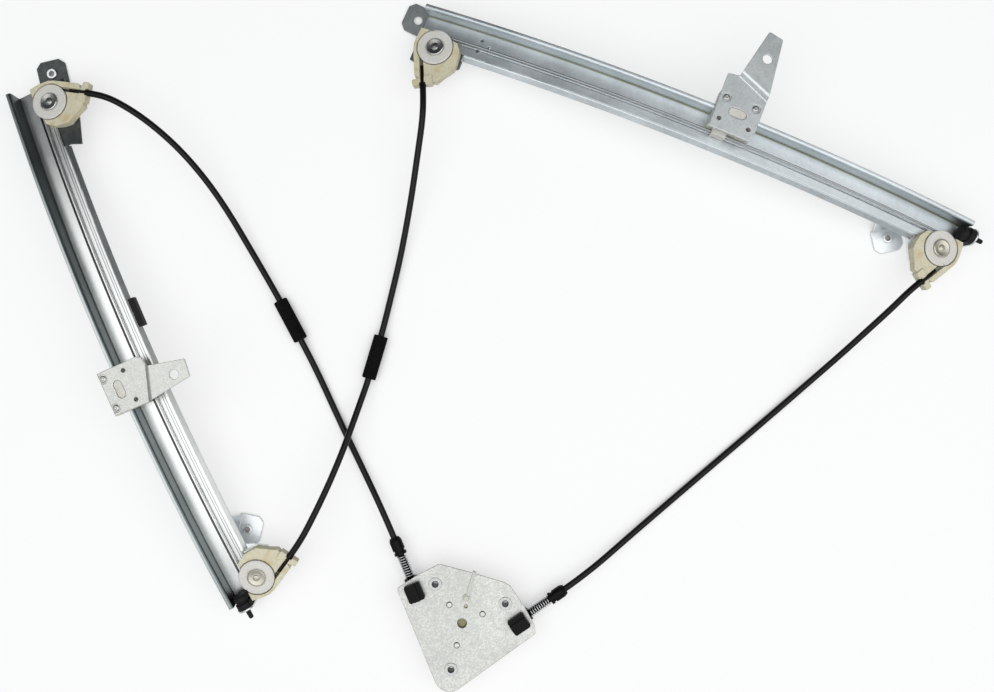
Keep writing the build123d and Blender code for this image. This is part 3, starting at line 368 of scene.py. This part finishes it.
def nylon(name, base, shade, smear, smear_share, roughness):
    """Moulded nylon; smear is the grease's colour and smear_share how much of it shows."""
    material, tree = new_material(name)
    spot = millimetres(tree)
    broad = add(tree, "ShaderNodeTexNoise", {"Vector": spot, "Scale": 1 / smear_mm, "Detail": 3.0})
    fine = add(tree, "ShaderNodeTexNoise", {
        "Vector": spot, "Scale": 1 / skin_mm, "Detail": 3.0}).outputs["Fac"]
    body = add(tree, "ShaderNodeValToRGB", {"Fac": fine}, stops=((0.3, shade), (0.65, base)))
    mask = add(tree, "ShaderNodeMapRange", {
        "Value": broad.outputs["Fac"], "From Min": 0.5, "From Max": 0.72, "To Max": smear_share})
    smeared = add(tree, "ShaderNodeMix", {
        0: mask.outputs[0], colour_a: body.outputs["Color"], colour_b: linear(smear)}, data_type="RGBA")
    edges = add(tree, "ShaderNodeBevel", {"Radius": moulded_edge}, samples=6)
    bump = add(tree, "ShaderNodeBump", {
        "Height": fine, "Normal": edges.outputs[0], "Strength": 0.15, "Distance": skin_relief})
    shader = add(tree, "ShaderNodeBsdfPrincipled", {
        "Base Color": smeared.outputs[mixed_colour], "Normal": bump.outputs[0], "Roughness": roughness,
        "IOR": 1.53, "Subsurface Weight": 0.25, "Subsurface Radius": (1.0, 0.8, 0.5),
        "Subsurface Scale": nylon_depth})
    add(tree, "ShaderNodeOutputMaterial", {"Surface": shader.outputs[0]})
    return material


ivory_nylon = nylon("moulded_ivory_nylon", "D8D2BA", "CAC3A6", "C0A462", 0.5, 0.4)
white_nylon = nylon("moulded_white_nylon", "DCDAD4", "CECCC6", "C6BFA4", 0.25, 0.38)
slider_nylon = nylon("moulded_slider_nylon", "D9D7D0", "C9C7BE", "B9AC88", 0.3, 0.42)
tie_nylon = nylon("clear_nylon_tie", "D6D4CA", "C6C4B8", "BDB69C", 0.3, 0.35)
print("with nylons", len(bpy.data.materials))

# %% [markdown]
# ## Black plastics, rubber and foam
# The conduit has a smooth extruded jacket that shows a long soft highlight. Sockets, ferrules and
# spring guides are moulded acetal with a finer satin, and the stops are rubber. The two sleeves are
# foam, with an open, grainy skin and almost no highlight. All are nearly the same black, so gloss,
# grain and relief are what tell them apart.

# %% Black finishes
def black(name, dark, light, roughness, grain_mm, relief_mm, gloss):
    """Black material with a grain; gloss is the specular level."""
    material, tree = new_material(name)
    grain = add(tree, "ShaderNodeTexNoise", {
        "Vector": millimetres(tree), "Scale": 1 / grain_mm, "Detail": 5.0}).outputs["Fac"]
    colour = add(tree, "ShaderNodeValToRGB", {"Fac": grain}, stops=((0.35, dark), (0.7, light)))
    bump = add(tree, "ShaderNodeBump", {"Height": grain, "Strength": 0.4, "Distance": relief_mm / 1000})
    shader = add(tree, "ShaderNodeBsdfPrincipled", {
        "Base Color": colour.outputs["Color"], "Normal": bump.outputs[0], "Roughness": roughness,
        "IOR": 1.5, "Specular IOR Level": gloss})
    add(tree, "ShaderNodeOutputMaterial", {"Surface": shader.outputs[0]})
    return material


jacket_black = black(
    "extruded_black_jacket", "050505", "0C0C0C", roughness=0.33, grain_mm=0.6, relief_mm=0.02, gloss=0.22)
moulded_black = black(
    "moulded_black_acetal", "050506", "0D0D0E", roughness=0.45, grain_mm=0.5, relief_mm=0.03, gloss=0.12)
rubber_black = black(
    "moulded_black_rubber", "0A0A0A", "141414", roughness=0.6, grain_mm=0.7, relief_mm=0.06, gloss=0.25)
foam_black = black(
    "open_cell_black_foam", "060606", "181818", roughness=0.95, grain_mm=0.9, relief_mm=0.35, gloss=0.1)
print("with black finishes", len(bpy.data.materials))

# %% [markdown]
# ## Finishes on the CAD pieces
# A piece from CAD keeps its mesh, and its finish is put in its material slot. Most pieces come as a
# left and a right one, so a loop names them in pairs, and the few that differ are set after it. The
# right rail's cable is light, and the left one and the drum's cable are dark.

# %% Put each finish on its piece
finishes = {
    "left_rail": left_strip, "right_rail": right_strip, "drum_plate": spangled_plate,
    "left_carrier_plate": left_carrier_steel, "right_carrier_plate": right_carrier_steel,
    "drum_housing": ivory_nylon, "cable_drum": white_nylon, "drum_spindle": spindle_bronze,
    "motor_bosses": boss_steel, "drum_plate_rivets": plate_rivet_steel, "transport_tie": tie_nylon,
    "drum_cable_turns": dark_cable_steel, "drum_cable_leads": dark_cable_steel, "left_anti_rattle_pad": rubber_black,
    "upper_left_sleeve": foam_black, "crossing_sleeve": foam_black,
}
for side in ("left", "right"):
    finishes[f"{side}_slider"] = slider_nylon
    finishes[f"{side}_rubber_stop"] = rubber_black
    finishes[f"{side}_threaded_bushes"] = bright_steel
    finishes[f"{side}_cable_nipples"] = bright_steel
    finishes[f"{side}_carrier_rivets"] = plate_rivet_steel
    finishes[f"{side}_cable_liners"] = jacket_black
    finishes[f"{side}_cable_socket"] = moulded_black
    finishes[f"{side}_ferrule"] = moulded_black
    for end in ("upper", "lower"):
        finishes[f"{side}_{end}_bracket"] = bracket_steel
        finishes[f"{side}_{end}_pulley_housing"] = ivory_nylon
        finishes[f"{side}_{end}_pulley"] = white_nylon
    finishes[f"{side}_upper_pulley_rivet"] = rivet_steel
    finishes[f"{side}_lower_pulley_rivet"] = greasy_rivet_steel
finishes["left_rail_cable"] = dark_cable_steel
finishes["right_rail_cable"] = clean_cable
finishes["left_upper_bracket"] = upper_left_shaded_steel
finishes["right_upper_bracket"] = upper_right_shaded_steel

for name, material in finishes.items():
    mesh = nodes[name].data
    mesh.materials.clear()
    mesh.materials.append(material)
print("pieces finished", len(finishes))
print("pieces made below instead", sorted(set(nodes) - set(finishes)))

# %% [markdown]
# ## Tension springs
# A spring behind each ferrule keeps the cable tight. It is one round wire wound at an even pitch, so a
# Geometry Nodes tree can make it from four numbers: a spiral is the wire's middle, a small circle is
# swept along it, and the caps close its ends. The tree's result becomes a plain mesh, which is then
# laid on the line of the CAD spring.

# %% A tree for coil springs
def coil_spring_tree(material):
    """Tree that winds a spring up the Z axis."""
    tree = bpy.data.node_groups.new("coil_spring", "GeometryNodeTree")
    sockets = tree.interface
    sockets.new_socket("Geometry", in_out="OUTPUT", socket_type="NodeSocketGeometry")
    for name in ("Turns", "Coil radius", "Length", "Wire radius"):
        sockets.new_socket(name, in_out="INPUT", socket_type="NodeSocketFloat")
    given = add(tree, "NodeGroupInput").outputs
    spiral = add(tree, "GeometryNodeCurveSpiral", {
        "Resolution": 40, "Rotations": given["Turns"], "Start Radius": given["Coil radius"],
        "End Radius": given["Coil radius"], "Height": given["Length"]})
    circle = add(tree, "GeometryNodeCurvePrimitiveCircle", {
        "Resolution": 12, "Radius": given["Wire radius"]})
    wire = add(tree, "GeometryNodeCurveToMesh", {
        "Curve": spiral.outputs[0], "Profile Curve": circle.outputs[0], "Fill Caps": True})
    smooth = add(tree, "GeometryNodeSetShadeSmooth", {"Geometry": wire.outputs[0]})
    real = add(tree, "GeometryNodeRealizeInstances", {"Geometry": smooth.outputs[0]})
    done = add(tree, "GeometryNodeSetMaterial", {"Geometry": real.outputs[0], "Material": material})
    add(tree, "NodeGroupOutput", {"Geometry": done.outputs[0]})
    return tree


def made_by(tree, name, values):
    """Plain object from a tree; values are its inputs by name."""
    carrier = bpy.data.objects.new(name, bpy.data.meshes.new(name + "_start"))
    scene.collection.objects.link(carrier)
    modifier = carrier.modifiers.new("nodes", "NODES")
    modifier.node_group = tree
    for item in tree.interface.items_tree:
        if item.in_out == "INPUT":
            modifier[item.identifier] = values[item.name]
    mesh = bpy.data.meshes.new_from_object(carrier.evaluated_get(bpy.context.evaluated_depsgraph_get()))
    carrier.modifiers.remove(modifier)
    carrier.data = mesh
    return carrier


spring_tree = coil_spring_tree(spring_steel)
print("spring tree inputs", [i.name for i in spring_tree.interface.items_tree if i.in_out == "INPUT"])

# %% [markdown]
# ## Guides inside the springs
# Each spring runs on a black tube that stands out of its socket, so the gaps between the coils look
# dark. A turned shape like this is a profile carried round an axis: each point of the profile makes a
# ring, and neighbouring rings are joined by faces. Mesh code needs only a few lines for it, and the
# tube can have its shoulder and its tapered tip.

# %% Helpers for placing and turning
def along(start, axis):
    """Matrix that takes the Z axis to a line from start along axis."""
    return Matrix.Translation(start) @ axis.to_track_quat("Z", "Y").to_matrix().to_4x4()


def turned_bar(name, place, profile, material, sides=32):
    """Closed bar turned about Z and then placed; profile is pairs of height and radius."""
    form = bmesh.new()
    angles = [math.tau * i / sides for i in range(sides)]
    rings = []
    for height, radius in profile:
        rings.append([form.verts.new((radius * math.cos(a), radius * math.sin(a), height)) for a in angles])
    for low, high in zip(rings, rings[1:]):
        for i in range(sides):
            j = (i + 1) % sides
            form.faces.new((low[i], low[j], high[j], high[i])).smooth = True
    form.faces.new(rings[0][::-1])
    form.faces.new(rings[-1])
    form.transform(place)
    mesh = bpy.data.meshes.new(name)
    form.to_mesh(mesh)
    form.free()
    mesh.materials.append(material)
    bar = bpy.data.objects.new(name, mesh)
    scene.collection.objects.link(bar)
    return bar


def middle_line(name, axis):
    """Start and length of a CAD node's middle line along an axis."""
    points = [v.co for v in nodes[name].data.vertices]
    middle = sum(points, Vector()) / len(points)
    reach = [(p - middle).dot(axis) for p in points]
    return middle + axis * min(reach), max(reach) - min(reach)


for side in ("left", "right"):
    length = middle_line(f"{side}_tension_spring", -Vector(joints[f"{side}_ferrule_slide"]["axis"]))[1]
    print(side, "spring is", round(1000 * length, 1), "mm long")

# %% [markdown]
# ## Springs and guides in place
# A spring stands between its socket and its ferrule, and gets shorter as the ferrule slides back over
# the guide. The guide stops short of the ferrule by as much as the ferrule slides.

# %% Springs and guides
wire_radius = 0.0006        # a little thicker than the real 1 mm wire, so that the coils show
coil_radius = 0.00375       # to the middle of the wire
coil_turns = 9.5
slide_travel = 0.004
guide_radius = 0.0029
shoulder_radius = guide_radius + 0.0001
shoulder_length = 0.0018
taper_length = 0.0015       # lead-in at the free end
taper_radius = 0.0022
tip_round = 0.0003
tip_radius = 0.0018
guide_gap = 0.0006          # left between the tip and a ferrule that is pushed fully back

for side in ("left", "right"):
    axis = -Vector(joints[f"{side}_ferrule_slide"]["axis"])
    start, length = middle_line(f"{side}_tension_spring", axis)
    spring = made_by(spring_tree, f"{side}_wound_spring", {
        "Turns": coil_turns, "Coil radius": coil_radius, "Length": length - 2 * wire_radius,
        "Wire radius": wire_radius})
    spring.data.transform(along(start + axis * wire_radius, axis))
    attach(spring, "frame")
    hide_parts(f"{side}_tension_spring")
    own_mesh(spring)

    guide_length = length - slide_travel - guide_gap
    guide_profile = (
        (0.0, shoulder_radius), (shoulder_length, shoulder_radius), (shoulder_length + 0.0002, guide_radius),
        (guide_length - taper_length, guide_radius), (guide_length - tip_round, taper_radius),
        (guide_length, tip_radius))
    guide = turned_bar(f"{side}_spring_guide", along(start, axis), guide_profile, moulded_black)
    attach(guide, "frame")
    print(side, "spring points", len(spring.data.vertices), "guide mm", round(1000 * guide_length, 1))

# %% [markdown]
# ## Conduits
# Each conduit is a steel coil in a smooth black jacket, stiff enough to hold wide curves between the
# housings that grip its ends. A NURBS curve of order 3 with a handful of control points gives one
# smooth line, and a round bevel gives the jacket. The order is set after the points are added, because
# Blender holds it down to the number of points that the curve has by then.

# %% Routes of the conduits
conduit_diameter = 0.0055
routes = {
    "upper_left_conduit": (
        (-0.08353, -0.17711, 0.012), (-0.09583, -0.14757, 0.012), (-0.1159, -0.1074, 0.0052),
        (-0.1334, -0.0721, 0.0032), (-0.1546, -0.0251, 0.0042), (-0.1681, 0.0019, 0.0064),
        (-0.1881, 0.0396, 0.0064), (-0.212, 0.0812, 0.0075), (-0.2313, 0.115, 0.0115),
        (-0.2495, 0.1424, 0.0175), (-0.2707, 0.1675, 0.0235), (-0.2945, 0.1886, 0.0285),
        (-0.317, 0.2033, 0.031), (-0.33413, 0.21085, 0.02969), (-0.34767, 0.2131, 0.02695)),
    "crossing_conduit": (
        (-0.17569, -0.18089, 0.02664), (-0.16692, -0.16905, 0.02949), (-0.1572, -0.1515, 0.0305),
        (-0.144, -0.124, 0.028), (-0.1335, -0.0986, 0.0235), (-0.1255, -0.076, 0.0175),
        (-0.1161, -0.0475, 0.0105), (-0.1109, -0.0319, 0.0076), (-0.0988, 0.0092, 0.0064),
        (-0.091, 0.0415, 0.0046), (-0.0832, 0.0735, 0.0064), (-0.0769, 0.1035, 0.011),
        (-0.0712, 0.1335, 0.018), (-0.0663, 0.163, 0.0255), (-0.0622, 0.189, 0.03),
        (-0.0614, 0.2077, 0.02906), (-0.06217, 0.22143, 0.02639)),
    "lower_right_conduit": (
        (0.05025, -0.21712, 0.012), (0.07674, -0.19918, 0.012), (0.1187, -0.1642, 0.0052),
        (0.1743, -0.117, 0.0032), (0.2296, -0.07, 0.003), (0.2683, -0.0359, 0.0054),
        (0.2993, -0.007, 0.0125), (0.3209, 0.015, 0.0205), (0.3375, 0.032, 0.0268),
        (0.35017, 0.04566, 0.03006), (0.36121, 0.05378, 0.02717)),
}
print("route points", {name: len(points) for name, points in routes.items()})

# %% Jackets
def smooth_tube(name, points, radius, material):
    """Tube with closed ends along a NURBS curve."""
    curve = bpy.data.curves.new(name, "CURVE")
    curve.dimensions = "3D"
    spline = curve.splines.new("NURBS")
    spline.points.add(len(points) - 1)
    for target, point in zip(spline.points, points):
        target.co = (*point, 1.0)
    spline.order_u = 3
    spline.use_endpoint_u = True
    spline.resolution_u = 12
    curve.bevel_depth = radius
    curve.bevel_resolution = 6
    curve.use_fill_caps = True
    curve.materials.append(material)
    tube = bpy.data.objects.new(name, curve)
    scene.collection.objects.link(tube)
    return tube


for name, points in routes.items():
    jacket = smooth_tube(f"{name}_jacket", points, conduit_diameter / 2, jacket_black)
    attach(jacket, "frame")
    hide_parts(name)

# %% [markdown]
# ## Table top
# The regulator lies on a white laminate table. Its white comes from a glow that only the camera and
# glossy surfaces see, added to a plain diffuse surface that keeps the object's shadow, so the table
# looks white without flooding the object with light from below. Ambient occlusion takes the glow away
# close under a piece, so that holes in a plate look dark, as they do on a real table.

# %% Table top
table_reach = 6.0           # metres from the middle to an edge
table_level = -0.0002       # just under the object
shade_distance = 0.02       # metres within which a piece takes the glow away
full_glow = 0.61

table_mesh = bpy.data.meshes.new("table_top")
corners = [(x * table_reach, y * table_reach, 0) for x, y in ((-1, -1), (1, -1), (1, 1), (-1, 1))]
table_mesh.from_pydata(corners, [], [(0, 1, 2, 3)])
table = bpy.data.objects.new("table_top", table_mesh)
scene.collection.objects.link(table)
table.location.z = table_level

white_laminate, tree = new_material("white_laminate")
rays = add(tree, "ShaderNodeLightPath").outputs
mirrored = add(tree, "ShaderNodeMath", {
    0: rays["Is Camera Ray"], 1: rays["Is Glossy Ray"]}, operation="MAXIMUM")
seen = add(tree, "ShaderNodeMath", {
    0: mirrored.outputs[0], 1: rays["Is Transmission Ray"]}, operation="MAXIMUM")
open_sky = add(tree, "ShaderNodeAmbientOcclusion", {"Distance": shade_distance}, samples=8)
open_glow = add(tree, "ShaderNodeMapRange", {
    "Value": open_sky.outputs["AO"], "From Min": 0.15, "From Max": 0.75, "To Max": full_glow})
glow_level = add(tree, "ShaderNodeMath", {
    0: seen.outputs[0], 1: open_glow.outputs[0]}, operation="MULTIPLY")
glow = add(tree, "ShaderNodeEmission", {"Color": linear("FFFFFF"), "Strength": glow_level.outputs[0]})
laminate = add(tree, "ShaderNodeBsdfDiffuse", {"Color": linear("A4A5A4")})
both = add(tree, "ShaderNodeAddShader", {0: laminate.outputs[0], 1: glow.outputs[0]})
add(tree, "ShaderNodeOutputMaterial", {"Surface": both.outputs[0]})
table_mesh.materials.append(white_laminate)
print("table half width", table_reach, "m")

# %% [markdown]
# ## Light
# One wide soft panel overhead keeps every shadow faint. The steel is glossy, so what it mirrors matters
# as much as what lights it: the rails are bent, and each part of a rail mirrors another part of the
# room. The panel's edge, and a room that darkens towards its far side, give the rails their slow change
# of tone from end to end.

# %% Overhead panel
panel_middle = (0.25, -0.27, 1.5)
light = bpy.data.lights.new("overhead_panel", "AREA")
light.shape = "RECTANGLE"
light.size = 4.0
light.size_y = 2.0
light.energy = 35.0
lamp = bpy.data.objects.new("overhead_panel", light)
scene.collection.objects.link(lamp)
lamp.location = panel_middle
print("panel", light.size, "m wide at", panel_middle[2], "m")

# %% Pale room
far_side = (0.0, 1.0, 0.0)
scene.view_settings.view_transform = "Standard"
world = bpy.data.worlds.new("pale_room")
scene.world = world
world.use_nodes = True
tree = world.node_tree
tree.nodes.clear()
direction = add(tree, "ShaderNodeTexCoord").outputs["Generated"]
farness = add(tree, "ShaderNodeVectorMath", {0: direction, 1: far_side}, operation="DOT_PRODUCT")
side_level = add(tree, "ShaderNodeMapRange", {"Value": farness.outputs["Value"], "From Min": -1.0})
room = add(tree, "ShaderNodeValToRGB", {"Fac": side_level.outputs[0]},
           stops=((0.0, "C2C5C7"), (0.5, "B4B8BA"), (0.68, "565B5E"), (1.0, "2A2D2F")))
background = add(tree, "ShaderNodeBackground", {"Color": room.outputs["Color"], "Strength": 0.9})
add(tree, "ShaderNodeOutputWorld", {"Surface": background.outputs[0]})
print("room darkens towards", far_side)
